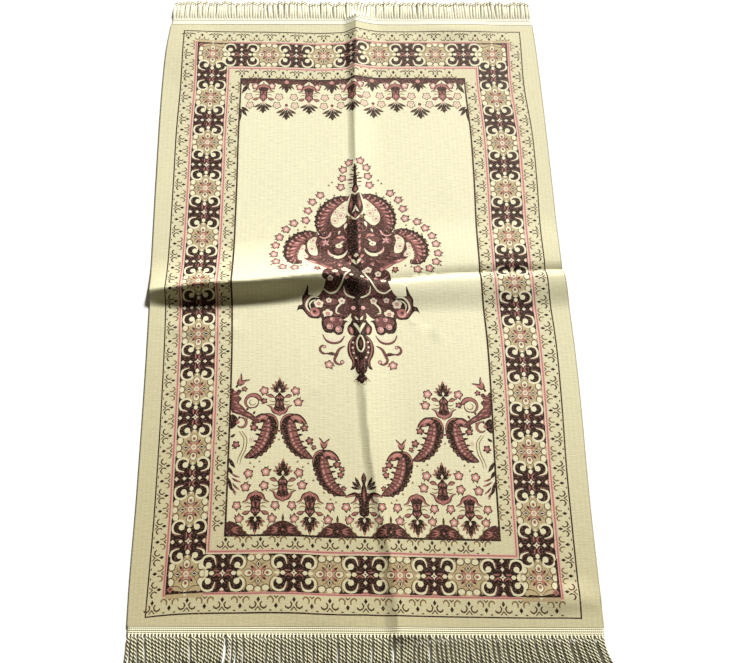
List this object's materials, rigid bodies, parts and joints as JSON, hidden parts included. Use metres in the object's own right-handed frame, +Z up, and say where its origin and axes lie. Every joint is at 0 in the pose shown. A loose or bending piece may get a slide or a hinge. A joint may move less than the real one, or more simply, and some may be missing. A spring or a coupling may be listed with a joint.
{
  "type": "prayer rug",
  "caption": "Light woven prayer rug lying open with a crosswise fold and a lengthwise crease, and a fringed heading at each end.",
  "frame": {"origin": "on the floor, under the middle of the rug's whole box, fringes included", "axes": "+X across the rug, +Y along it towards the far, arch end, +Z up"},
  "size_m": [0.695, 1.1899, 0.026],
  "materials": {
    "woven_cloth": "cream woven ground with mauve, rose and near-black figures",
    "cotton_fringe": "off-white twisted cord with a soft sheen"
  },
  "bodies": {
    "root": {"rug_cloth": "woven_cloth", "fringe_near": "cotton_fringe", "fringe_far": "cotton_fringe"}
  },
  "joints": []
}
